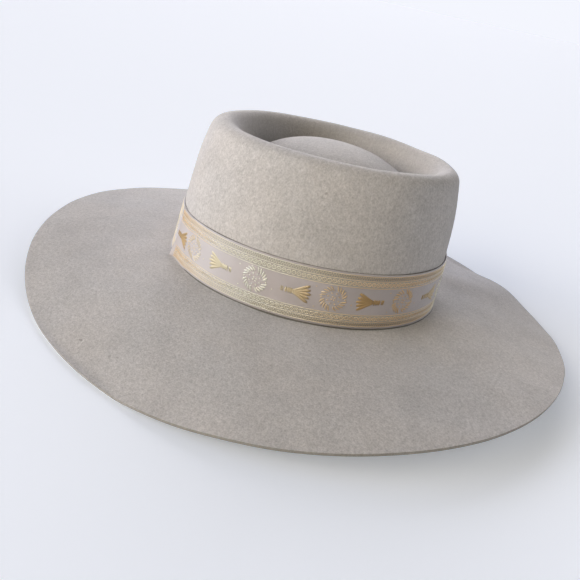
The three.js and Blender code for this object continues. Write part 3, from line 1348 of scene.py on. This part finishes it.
@dataclass
class RibbonCourse:
    """Where the ribbon runs: lengths along it, heights across it and lifts off its face."""

    block: HatBlock
    stand: Stand
    width: float = 36.0
    thickness: float = 0.6
    foot: float = 1.2
    gap: float = 0.5
    lap_turn: float = np.radians(-40.0)
    lap_length: float = 20.0
    lap_ramp: float = 7.0
    layer_gap: float = 0.1
    flare: float = 3.0
    flare_length: float = 9.0
    flare_reach: float = 0.5
    hem: float = 3.2
    steps: int = 1440
    length: float = field(init=False)
    table: tuple[np.ndarray, np.ndarray] = field(init=False)

    def __post_init__(self) -> None:
        """Measures the ribbon's length along its middle, and tabulates turn against length."""
        turn = np.linspace(-FULL_TURN, 2 * FULL_TURN, 3 * self.steps + 1)
        height = np.full_like(turn, self.foot + self.width / 2)
        lift = self.gap + self.thickness
        middle = self.block.worn(turn, self.block.wall_offset(turn, height) + lift, height)
        step = np.linalg.norm(np.diff(middle, axis=0), axis=1)
        run = np.concatenate([[0.0], np.cumsum(step)])
        run = run - run[self.steps]
        self.length = float(run[2 * self.steps])
        self.table = (run, turn)

    def turn_at(self, along: np.ndarray) -> np.ndarray:
        """Turn around the head at a length along the ribbon, from the wearer's left."""
        laps = np.floor(along / self.length)
        return np.interp(along - laps * self.length, *self.table) + laps * FULL_TURN

    @property
    def lap_start(self) -> float:
        """Length at which the ribbon's upper end lies."""
        return float(np.interp(self.lap_turn, self.table[1], self.table[0]))

    def rise(self, travelled: np.ndarray) -> np.ndarray:
        """How far the upper end rides over the lower one, by the length from the upper end."""
        t = np.clip((travelled - self.lap_length) / self.lap_ramp, 0.0, 1.0)
        return (self.thickness + self.layer_gap) * (1 - eased(t))

    def end_flare(self, travelled: np.ndarray, across: np.ndarray) -> np.ndarray:
        """How far the lower corner of the upper end springs away from the hat.

        It falls as a square with the length from the end, and eases out with the height.

        Args:
            travelled: lengths from the ribbon's upper end.
            across: heights from the ribbon's lower edge.

        Returns:
            Lifts in millimetres.
        """
        near_end = np.clip(1 - travelled / self.flare_length, 0.0, 1.0) ** 2
        low = np.clip(1 - across / (self.flare_reach * self.width), 0.0, 1.0)
        return self.flare * near_end * eased(low)

    def place(self, travelled: np.ndarray, across: np.ndarray, lift: np.ndarray) -> np.ndarray:
        """Points over the ribbon's face.

        Args:
            travelled: lengths from the ribbon's upper end.
            across: heights from the ribbon's lower edge.
            lift: heights off the ribbon's back.

        Returns:
            Standing points, in millimetres.
        """
        travelled, across, lift = np.broadcast_arrays(travelled, across, lift)
        turn = self.turn_at(self.lap_start + travelled)
        height = self.foot + across
        clear = self.gap + self.block.break_flare(height) + self.rise(travelled)
        clear = clear + self.end_flare(travelled, across) + lift
        distance = self.block.wall_offset(turn, height) + clear
        return self.stand.place(self.block.worn(turn, distance, height))

    def from_left(self, along: np.ndarray) -> np.ndarray:
        """Length from the upper end for a length from the wearer's left."""
        return (np.asarray(along) - self.lap_start) % self.length


@dataclass
class SatinRibbon:
    """The ribbon's ground: a thin strip that goes once around and laps over its own end."""

    course: RibbonCourse
    columns: int = 900
    face_rows: int = 25
    back_rows: int = 7
    selvedge: float = 1.0
    selvedge_swell: float = 0.12
    selvedge_spread: float = 0.5

    def build(self) -> bpy.types.Object:
        """Builds the strip as a closed mesh: a section of face and back carried along it.

        Returns:
            The ribbon piece, with its place on the cloth as UVs.
        """
        course = self.course
        across = np.concatenate(
            [np.linspace(0, 1, self.face_rows), np.linspace(1, 0, self.back_rows)]
        )
        across = across * course.width
        face = np.arange(len(across)) < self.face_rows
        edge = np.minimum(across, course.width - across)
        off_middle = (edge - self.selvedge / 2) / self.selvedge_spread
        swell = self.selvedge_swell * np.exp(-(off_middle**2))
        lift = np.where(face, course.thickness + swell, 0.0)
        travelled = np.linspace(0.0, course.length + course.lap_length, self.columns)
        grid = course.place(travelled[:, None], across[None], lift[None])
        count, section = grid.shape[:2]
        quads = MeshMaker.grid_faces(count, section, closed=True)[:, ::-1]
        start_cap = list(range(section))
        end_cap = [(count - 1) * section + i for i in reversed(range(section))]
        uv = np.stack(np.broadcast_arrays(travelled[:, None], across[None]), axis=-1) * MM
        return MeshMaker.build(
            "ribbon_satin",
            grid.reshape(-1, 3),
            quads.tolist() + [start_cap, end_cap],
            uv.reshape(-1, 2),
        )


@dataclass
class Thread:
    """A raised thread: an arched section carried along paths on the ribbon."""

    course: RibbonCourse
    sunk: float = 0.12
    arch: tuple[tuple[float, float], ...] = (
        (-0.5, 0.0),
        (-0.38, 0.7),
        (0.0, 1.0),
        (0.38, 0.7),
        (0.5, 0.0),
    )
    dome: tuple[tuple[float, float], ...] = ((1.0, 0.0), (0.78, 0.62), (0.38, 0.93))

    def along(
        self, paths: np.ndarray, width: np.ndarray | float, height: float, closed: bool
    ) -> tuple[np.ndarray, list[list[int]], np.ndarray]:
        """Carries the arch along each path.

        The section's points lie at their share of the width to the side of the path, and at
        their share of the height over the ribbon's face.

        Args:
            paths: points on the ribbon, with axes of path, point, and length and height.
            width: the thread's width at each point of a path.
            height: how high it stands off the face.
            closed: whether each path ends where it starts.

        Returns:
            Points, faces and places on the cloth.
        """
        if closed:
            ahead, behind = np.roll(paths, -1, axis=1), np.roll(paths, 1, axis=1)
        else:
            ahead = np.concatenate([paths[:, 1:], paths[:, -1:]], axis=1)
            behind = np.concatenate([paths[:, :1], paths[:, :-1]], axis=1)
        way = ahead - behind
        way = way / np.maximum(np.linalg.norm(way, axis=-1, keepdims=True), 1e-9)
        side = np.stack([-way[..., 1], way[..., 0]], axis=-1)
        shares = np.array(self.arch)
        width = np.broadcast_to(width, paths.shape[:2])
        flat = paths[:, :, None] + side[:, :, None] * (shares[:, 0] * width[..., None])[..., None]
        lift = self.course.thickness - self.sunk + shares[:, 1] * (height + self.sunk)
        points = self.course.place(flat[..., 0], flat[..., 1], lift)
        count, steps, section = flat.shape[:3]
        rows = MeshMaker.grid_faces(steps + closed, section, closed=True)
        rows = rows % (steps * section)
        starts = (np.arange(count) * steps * section)[:, None, None]
        faces = (rows[None, :, ::-1] + starts).reshape(-1, 4).tolist()
        if not closed:
            first = np.arange(section)
            last = (steps - 1) * section + first[::-1]
            ends = np.stack([first, last])[None] + starts
            faces = faces + ends.reshape(-1, section).tolist()
        return points.reshape(-1, 3), faces, flat.reshape(-1, 2) * MM

    def dots(
        self, centres: np.ndarray, radius: float, height: float, sides: int = 8
    ) -> tuple[np.ndarray, list[list[int]], np.ndarray]:
        """Small domes: rings of points at a falling radius and a rising height, closed on top.

        Args:
            centres: points on the ribbon, one a row.
            radius: the dots' radius.
            height: how high they stand off the face.
            sides: points in a ring.

        Returns:
            Points, faces and places on the cloth.
        """
        angle = np.arange(sides) * FULL_TURN / sides
        rings = np.array(self.dome)
        flat_x = rings[:, :1] * np.cos(angle) * radius
        flat_y = rings[:, :1] * np.sin(angle) * radius
        ring = np.stack([flat_x, flat_y], axis=-1).reshape(-1, 2)
        share = np.append(np.repeat(rings[:, 1], sides), 1.0)
        flat = centres[:, None] + np.concatenate([ring, np.zeros((1, 2))])[None]
        lift = self.course.thickness - self.sunk + share * (height + self.sunk)
        points = self.course.place(flat[..., 0], flat[..., 1], lift[None])
        quads = MeshMaker.grid_faces(len(rings), sides, closed=True)
        top = len(ring)
        last = top - sides + np.arange(sides)
        ahead = top - sides + (np.arange(sides) + 1) % sides
        fans = np.stack([last, ahead, np.full(sides, top)], axis=-1)
        floor = np.arange(sides)[::-1]
        starts = (np.arange(len(centres)) * (top + 1))[:, None, None]
        faces = []
        for part in (quads, fans, floor[None]):
            faces += (part[None] + starts).reshape(-1, part.shape[-1]).tolist()
        return points.reshape(-1, 3), faces, flat.reshape(-1, 2) * MM


def joined(
    name: str, parts: list[tuple[np.ndarray, list[list[int]], np.ndarray]]
) -> bpy.types.Object:
    """Joins parts of points, faces and cloth places into one piece.

    Args:
        name: the piece's name.
        parts: the parts.

    Returns:
        The piece.
    """
    points, faces, uv, start = [], [], [], 0
    for part_points, part_faces, part_uv in parts:
        points.append(part_points)
        uv.append(part_uv)
        faces += [[corner + start for corner in face] for face in part_faces]
        start += len(part_points)
    return MeshMaker.build(name, np.concatenate(points), faces, np.concatenate(uv))


@dataclass
class Rosettes:
    """Wreaths of strokes in four groups, with dots at the sides, in a ring and in the middle."""

    course: RibbonCourse
    thread: Thread
    repeats: int = 12
    groups: tuple[float, ...] = (45.0, 135.0, 225.0, 315.0)
    first: float = 14.6
    slips: tuple[float, ...] = (0.0, -0.4, -2.2, -1.2, 0.6, -0.5, 0.8, 0.0, -0.9, 0.4, -1.5, -3.8)
    middle: float = 18.2
    strokes: tuple[float, ...] = (-30.0, -15.0, 0.0, 15.0, 30.0)
    stroke_from: float = 5.2
    stroke_to: float = 8.6
    stroke_slant: float = np.radians(16.0)
    stroke_width: float = 1.15
    stroke_widths: tuple[float, ...] = (0.35, 0.85, 1.0, 1.0, 0.8, 0.3)
    side_dots: tuple[float, ...] = (-14.0, 0.0, 14.0)
    side_radius: float = 7.4
    ring_dots: int = 8
    ring_phase: float = 0.5
    ring_radius: float = 3.7
    cluster_dots: int = 4
    cluster_phase: float = 0.3
    cluster_radius: float = 1.15
    dot_radius: float = 0.62
    accents: tuple[tuple[float, float], ...] = ((-11.4, 6.2), (11.8, -2.8), (-10.6, -7.0))
    accent_radius: float = 0.5
    accent_height: float = 0.24
    height: float = 0.3

    def centres(self) -> np.ndarray:
        """Middles of the rosettes on the ribbon, each slipped a little by the uneven weaving.

        Returns:
            A length along the ribbon and a height across it for each.
        """
        along = self.first + np.arange(self.repeats) * self.course.length / self.repeats
        travelled = self.course.from_left(along + np.array(self.slips))
        return np.stack([travelled, np.full(self.repeats, self.middle)], axis=-1)

    def dot_offsets(self) -> np.ndarray:
        """Dots around a rosette's middle: both sides, the ring and the cluster, each on a circle.

        Returns:
            A step along the ribbon and one across it for each dot.
        """
        sides = np.radians(np.add.outer([0.0, 180.0], self.side_dots)).ravel()
        ring = np.arange(self.ring_dots) + self.ring_phase
        ring = ring * FULL_TURN / self.ring_dots
        cluster = np.arange(self.cluster_dots) + self.cluster_phase
        cluster = cluster * FULL_TURN / self.cluster_dots
        turn = np.concatenate([sides, ring, cluster])
        counts = [len(sides), len(ring), len(cluster)]
        radius = np.repeat([self.side_radius, self.ring_radius, self.cluster_radius], counts)
        return np.stack([radius * np.cos(turn), radius * np.sin(turn)], axis=-1)

    def build(self) -> bpy.types.Object:
        """Builds all rosettes and the accent dots around them.

        Returns:
            The piece.
        """
        centres = self.centres()
        start = np.radians(np.add.outer(self.groups, self.strokes)).reshape(-1, 1)
        t = np.linspace(0.0, 1.0, len(self.stroke_widths))
        radius = self.stroke_from + (self.stroke_to - self.stroke_from) * t
        angle = start + self.stroke_slant * (t - 0.5)
        stroke = np.stack([radius * np.cos(angle), radius * np.sin(angle)], axis=-1)
        paths = (centres[:, None, None] + stroke[None]).reshape(-1, len(t), 2)
        width = self.stroke_width * np.array(self.stroke_widths)
        dots = (centres[:, None] + self.dot_offsets()[None]).reshape(-1, 2)
        accents = (centres[:, None] + np.array(self.accents)[None]).reshape(-1, 2)
        parts = [
            self.thread.along(paths, width, self.height, closed=False),
            self.thread.dots(dots, self.dot_radius, self.height),
            self.thread.dots(accents, self.accent_radius, self.accent_height),
        ]
        return joined("ribbon_rosettes", parts)


@dataclass
class Fans:
    """Sheaves of five splayed ribs that narrow to a bound neck and a small square end."""

    course: RibbonCourse
    thread: Thread
    repeats: int = 12
    first: float = 39.4
    drift: float = 1.4
    middle: float = 18.0
    reach: float = 9.4
    outer_ribs_short: float = 1.3
    neck: float = -2.2
    neck_from: float = -6.6
    neck_lap: float = 0.6
    straight_points: int = 4
    neck_threads: tuple[float, ...] = (-0.8, 0.0, 0.8)
    neck_thread_width: float = 0.95
    neck_lowering: float = 0.8
    half_neck: float = 0.55
    half_spread: float = 4.9
    splay_power: float = 1.15
    ribs: int = 5
    rib_width: float = 2.3
    rib_widths: tuple[float, ...] = (0.4, 0.6, 0.72, 0.84, 0.96, 1.0, 0.55)
    bands: tuple[tuple[float, float], ...] = (
        (-2.6, 1.9),
        (-4.2, 1.7),
        (-5.8, 1.7),
        (-7.9, 1.5),
        (-8.9, 1.5),
    )
    band_width: float = 0.85
    height: float = 0.26

    def build(self) -> bpy.types.Object:
        """Builds all fans, every other one turned round.

        Returns:
            The piece.
        """
        parts = []
        step = self.course.length / self.repeats
        for number in range(self.repeats):
            facing = Facing.FORWARD if number % 2 == 0 else Facing.BACKWARD
            along = self.first + number * step + self.drift * facing.value
            centre = np.array([float(self.course.from_left(along)), self.middle])
            parts += self.fan(centre, facing)
        return joined("ribbon_fans", parts)

    def fan(self, centre: np.ndarray, facing: Facing) -> list[tuple]:
        """One fan: ribs that splay by a power of their length, a neck, and bands across it.

        Args:
            centre: the fan's middle on the ribbon.
            facing: which way it opens.

        Returns:
            Parts of points, faces and cloth places.
        """
        t = np.linspace(0.0, 1.0, len(self.rib_widths))
        spread = np.linspace(-1.0, 1.0, self.ribs)[:, None]
        ends = self.reach - self.outer_ribs_short * np.abs(spread)
        rib_x = self.neck + (ends - self.neck) * t
        rib_y = spread * (self.half_neck + self.half_spread * t**self.splay_power)
        neck_x = np.linspace(self.neck_from, self.neck + self.neck_lap, self.straight_points)
        neck_y = np.array(self.neck_threads)[:, None]
        band_x, band_half = np.array(self.bands).T[:, :, None]
        band_y = np.linspace(-1.0, 1.0, self.straight_points) * band_half
        kinds = [
            (rib_x, rib_y, self.rib_width * np.array(self.rib_widths), self.height),
            (neck_x, neck_y, self.neck_thread_width, self.height * self.neck_lowering),
            (band_x, band_y, self.band_width, self.height),
        ]
        parts = []
        for x, y, width, height in kinds:
            offsets = np.stack(np.broadcast_arrays(x, y), axis=-1)
            paths = centre + offsets * np.array([facing.value, 1.0])
            parts.append(self.thread.along(paths, width, height, closed=False))
        return parts


@dataclass
class Borders:
    """A border along each edge: a zigzag, a chain of small ringed dots and thin lines."""

    course: RibbonCourse
    thread: Thread
    pitch: float = 3.08
    ring_place: float = 6.4
    ring_radius: float = 1.22
    ring_width: float = 0.6
    ring_points: int = 10
    dot_radius: float = 0.5
    zigzag_place: float = 2.6
    zigzag_half: float = 0.9
    zigzag_width: float = 0.62
    teeth_per_ring: int = 4
    lines: tuple[float, ...] = (1.2, 4.2, 8.8)
    line_width: float = 0.5
    line_points: int = 700
    end_margin: float = 0.4
    height: float = 0.24

    def build(self) -> bpy.types.Object:
        """Builds both borders.

        Returns:
            The piece.
        """
        course, parts = self.course, []
        start, end = course.hem, course.length - self.end_margin
        rings = int(round((end - start) / self.pitch))
        middles = start + (np.arange(rings) + 0.5) * (end - start) / rings
        angle = np.arange(self.ring_points) * FULL_TURN / self.ring_points
        ring = np.stack([np.cos(angle), np.sin(angle)], axis=-1) * self.ring_radius
        teeth = np.linspace(start, end, rings * self.teeth_per_ring + 1)
        swing = self.zigzag_half * (1 - 2 * (np.arange(len(teeth)) % 2))
        run = np.linspace(start, end, self.line_points)
        for edge, inward in [(0.0, 1.0), (course.width, -1.0)]:
            row = np.full(rings, edge + inward * self.ring_place)
            centres = np.stack([middles, row], axis=-1)
            rounds = centres[:, None] + ring[None]
            parts.append(self.thread.along(rounds, self.ring_width, self.height, closed=True))
            parts.append(self.thread.dots(centres, self.dot_radius, self.height, sides=6))
            zigzag = np.stack([teeth, edge + inward * self.zigzag_place + swing], axis=-1)
            straight = [(zigzag, self.zigzag_width)]
            for place in self.lines:
                line = np.stack([run, np.full_like(run, edge + inward * place)], axis=-1)
                straight.append((line, self.line_width))
            for path, width in straight:
                parts.append(self.thread.along(path[None], width, self.height, closed=False))
        return joined("ribbon_borders", parts)


@dataclass
class Ribbon:
    """The whole ribbon: satin ground, woven figures and borders."""

    block: HatBlock
    stand: Stand
    effects: SharedEffects

    def build(self, felt: bpy.types.Object) -> list[bpy.types.Object]:
        """Builds and dresses the ribbon.

        Args:
            felt: the felt that the ribbon lies on; not used.

        Returns:
            The ribbon's pieces, the ground first.
        """
        course = RibbonCourse(self.block, self.stand)
        thread = Thread(course)
        ground = SatinRibbon(course).build()
        figures = [
            Rosettes(course, thread).build(),
            Fans(course, thread).build(),
            Borders(course, thread).build(),
        ]
        ground.data.materials.append(SatinFinish().material(self.effects, course.width, course.hem))
        # Each thread's pale tint is a painted reflection, laid along the ribbon by the sheen wave.
        silvery = ThreadFinish(
            "silvery_metallic_thread",
            pale=Tint(0.86, 0.90, 0.82),
            gold=Tint(0.65, 0.47, 0.26),
            palest=0.075,
            depth=1.0,
        )
        deep = ThreadFinish(
            "deep_gold_thread",
            pale=Tint(0.75, 0.72, 0.55),
            gold=Tint(0.465, 0.315, 0.14),
            palest=0.074,
            depth=1.2,
            metal=0.45,
        )
        light = ThreadFinish("pale_metallic_thread")
        for piece, thread_finish in zip(figures, (silvery, deep, light)):
            piece.data.materials.append(thread_finish.material(self.effects))
        for piece in [ground, *figures]:
            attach(piece, "root")
        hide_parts("ribbon_band")
        return [ground, *figures]


@dataclass(frozen=True)
class StudioCamera:
    """Camera at the photograph's angle to the hat.

    The yaw is the direction from the hat, 0 in front of it and 90 at the wearer's left. The
    origin pixel is where the middle of the break falls in the square image.
    """

    yaw: float = 115.79
    elevation: float = 21.6
    roll: float = 12.05
    distance: float = 437.67
    origin_pixel: tuple[float, float] = (301.31, 264.42)
    lens: float = 36.0
    sensor: float = 36.0
    clip: tuple[float, float] = (0.01, 100.0)

    def build(self, stand: Stand) -> bpy.types.Object:
        """Makes the camera and gives it to the scene.

        Its axes look at the hat's origin, are rolled about the line of sight, and are then
        turned by the small rotation that brings the origin to its pixel.

        Args:
            stand: how the hat stands, which the camera follows.

        Returns:
            The camera.
        """
        yaw, elevation, roll = np.radians([self.yaw, self.elevation, self.roll])
        flat = np.cos(elevation)
        back = np.array([np.sin(yaw) * flat, -np.cos(yaw) * flat, np.sin(elevation)])
        right = np.cross(-back, UP)
        right = right / np.linalg.norm(right)
        up = np.cross(right, -back)
        rolled_right = np.cos(roll) * right + np.sin(roll) * up
        rolled_up = -np.sin(roll) * right + np.cos(roll) * up
        axes = self.aim() @ np.stack([rolled_right, rolled_up, -back])
        axes = axes @ stand.turned.T
        place = stand.place(back * self.distance) * MM
        data = bpy.data.cameras.new("studio_camera")
        data.lens, data.sensor_width = self.lens, self.sensor
        data.clip_start, data.clip_end = self.clip
        camera = bpy.data.objects.new("studio_camera", data)
        bpy.context.scene.collection.objects.link(camera)
        turned = Matrix(np.stack([axes[0], axes[1], -axes[2]], axis=-1).tolist()).to_4x4()
        camera.matrix_world = Matrix.Translation(place.tolist()) @ turned
        bpy.context.scene.camera = camera
        return camera

    def aim(self) -> np.ndarray:
        """Rotation from looking at the origin to seeing it at its pixel.

        Returns:
            A rotation matrix of three rows.
        """
        focal = self.lens / self.sensor * IMAGE_SIZE
        centre = (IMAGE_SIZE - 1) / 2
        seen = np.array(
            [
                (self.origin_pixel[0] - centre) / focal,
                -(self.origin_pixel[1] - centre) / focal,
                1.0,
            ]
        )
        return turn_onto(UP, seen / np.linalg.norm(seen))


@dataclass(frozen=True)
class SoftLight:
    """One broad light far from the hat.

    The yaw is the direction that it comes from, counted as the camera's is. The glow is the
    colour and strength of its light, as a square matt white face turned to it would send it on.
    """

    name: str
    yaw: float
    glow: tuple[float, float, float]
    elevation: float = 14.0
    spread: float = 60.0

    def build(self) -> None:
        """Adds the light to the scene."""
        data = bpy.data.lights.new(self.name, "SUN")
        strongest = max(self.glow)
        data.energy = np.pi * strongest
        data.angle = np.radians(self.spread)
        data.color = tuple(value / strongest for value in self.glow)
        light = bpy.data.objects.new(self.name, data)
        bpy.context.scene.collection.objects.link(light)
        light.rotation_euler = (np.radians(90.0 - self.elevation), 0.0, np.radians(self.yaw))


@dataclass(frozen=True)
class Studio:
    """Pale floor, pale surroundings and four soft lights, the strongest at the camera's left."""

    floor_half: float = 30.0
    floor_tint: Tint = Tint(0.80, 0.84, 0.90)
    floor_roughness: float = 0.9
    floor_specular: float = 0.1
    floor_lift: float = 0.27
    seen_tint: Tint = Tint(0.905, 0.922, 0.991)
    surroundings: Tint = Tint(0.05, 0.05, 0.055)
    lights: tuple[SoftLight, ...] = (
        SoftLight("warm_key_light", 60.0, (1.06, 0.93, 0.71), elevation=10.5),
        SoftLight("cool_side_light", 25.0, (0.58, 0.62, 0.78)),
        SoftLight("rim_light", 300.0, (0.80, 0.78, 0.84)),
        SoftLight("cool_fill_light", 218.0, (0.43, 0.415, 0.405)),
    )

    def build(self) -> None:
        """Makes the floor, the surroundings and the lights."""
        self.floor()
        self.world()
        for light in self.lights:
            light.build()

    def floor(self) -> None:
        """Lays the floor as one large square, which the camera sees a little lifted."""
        half = self.floor_half / MM
        corners = half * np.array([(-1, -1, 0), (1, -1, 0), (1, 1, 0), (-1, 1, 0)])
        floor = MeshMaker.build("studio_floor", corners, [[0, 1, 2, 3]])
        material, nodes, shader = new_material("pale_floor")
        shader.inputs["Base Color"].default_value = self.floor_tint.rgba()
        shader.inputs["Roughness"].default_value = self.floor_roughness
        shader.inputs["Specular IOR Level"].default_value = self.floor_specular
        seen = nodes.add("ShaderNodeLightPath").outputs["Is Camera Ray"]
        shader.inputs["Emission Color"].default_value = self.floor_tint.rgba()
        lift = nodes.math("MULTIPLY", seen, self.floor_lift)
        nodes.link(lift, shader.inputs["Emission Strength"])
        floor.data.materials.append(material)

    def world(self) -> None:
        """Makes surroundings that light the hat faintly and look as pale as the floor."""
        world = bpy.data.worlds.new("studio_surroundings")
        world.use_nodes = True
        bpy.context.scene.world = world
        nodes = Nodes(world.node_tree)
        world.node_tree.nodes.clear()
        faint = nodes.add("ShaderNodeBackground")
        faint.inputs["Color"].default_value = self.surroundings.rgba()
        seen = nodes.add("ShaderNodeBackground")
        seen.inputs["Color"].default_value = self.seen_tint.rgba()
        mixed = nodes.add("ShaderNodeMixShader")
        path = nodes.add("ShaderNodeLightPath")
        nodes.link(path.outputs["Is Camera Ray"], mixed.inputs[0])
        nodes.link(faint.outputs[0], mixed.inputs[1])
        nodes.link(seen.outputs[0], mixed.inputs[2])
        nodes.link(mixed.outputs[0], nodes.add("ShaderNodeOutputWorld").inputs["Surface"])


def main() -> None:
    """Builds the camera, studio, felt and ribbon in order and reports each piece."""
    logging.basicConfig(level=logging.INFO, format="%(name)s: %(message)s")
    block = HatBlock()
    stand = Stand(block)
    StudioCamera().build(stand)
    bpy.context.scene.view_settings.view_transform = "Standard"
    Studio().build()
    effects = SharedEffects()
    felt = FeltHood(block, stand).build()
    felt.data.materials.append(FeltFinish().material(effects, stand))
    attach(felt, "root")
    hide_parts("felt_body")
    pieces = [felt, *Ribbon(block, stand, effects).build(felt)]
    for piece in pieces:
        log.info("%s has %d faces", piece.name, len(piece.data.polygons))


if __name__ == "__main__":
    main()
